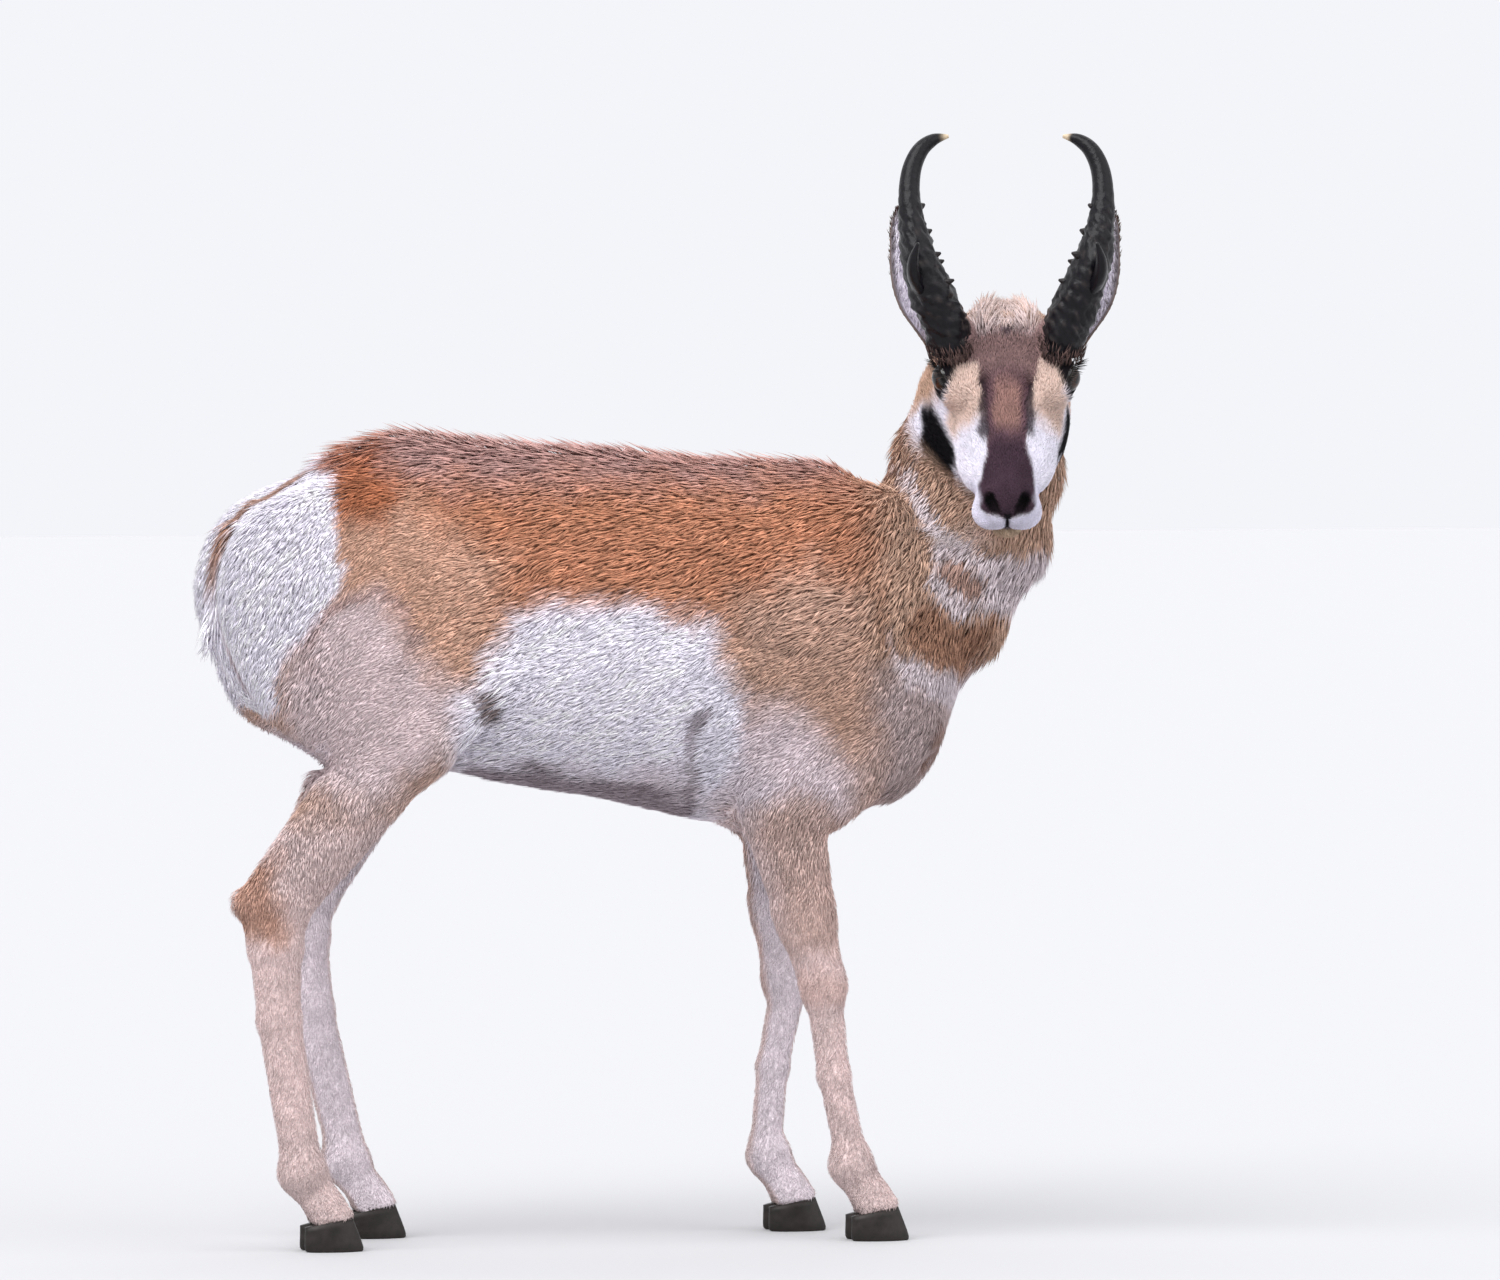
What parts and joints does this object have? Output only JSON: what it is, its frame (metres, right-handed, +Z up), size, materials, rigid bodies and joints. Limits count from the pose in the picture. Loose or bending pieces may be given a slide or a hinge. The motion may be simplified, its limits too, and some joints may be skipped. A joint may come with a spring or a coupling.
{
  "type": "pronghorn",
  "caption": "Still life-size pronghorn buck standing broadside with its head turned to look over its right side, black pronged horns, white rump and flanks.",
  "frame": {"origin": "centre of the whole animal's bounding box, on the floor it stands on", "axes": "+X along the body towards the chest, +Z up, so the animal's right flank and its gaze are towards -Y"},
  "size_m": [1.0492, 0.3685, 1.258],
  "materials": {
    "head": "short smooth hair, dark bridge and pale cheeks",
    "neck": "short dense hair with white throat bands",
    "torso": "streaky short hair, rufous over white flanks and rump",
    "tail": "white hair",
    "legs": "very short tan hair",
    "ear": "thin short hair, dark tips, white inside",
    "eye": "wet dark eye",
    "horn": "black horn sheath, rough below and polished above",
    "hoof": "dark worn horn"
  },
  "bodies": {
    "root": {"leg_hind_right": "legs", "hoof_leg_hind_right_inner": "hoof", "hoof_leg_hind_right_outer": "hoof", "leg_hind_left": "legs", "hoof_leg_hind_left_inner": "hoof", "hoof_leg_hind_left_outer": "hoof", "leg_fore_right": "legs", "hoof_leg_fore_right_inner": "hoof", "hoof_leg_fore_right_outer": "hoof", "leg_fore_left": "legs", "hoof_leg_fore_left_inner": "hoof", "hoof_leg_fore_left_outer": "hoof", "torso": "torso", "tail": "tail", "neck": "neck", "horn_right": "horn", "eye_right": "eye", "horn_left": "horn", "eye_left": "eye", "head": "head", "ear_right": "ear", "ear_left": "ear"}
  },
  "joints": []
}
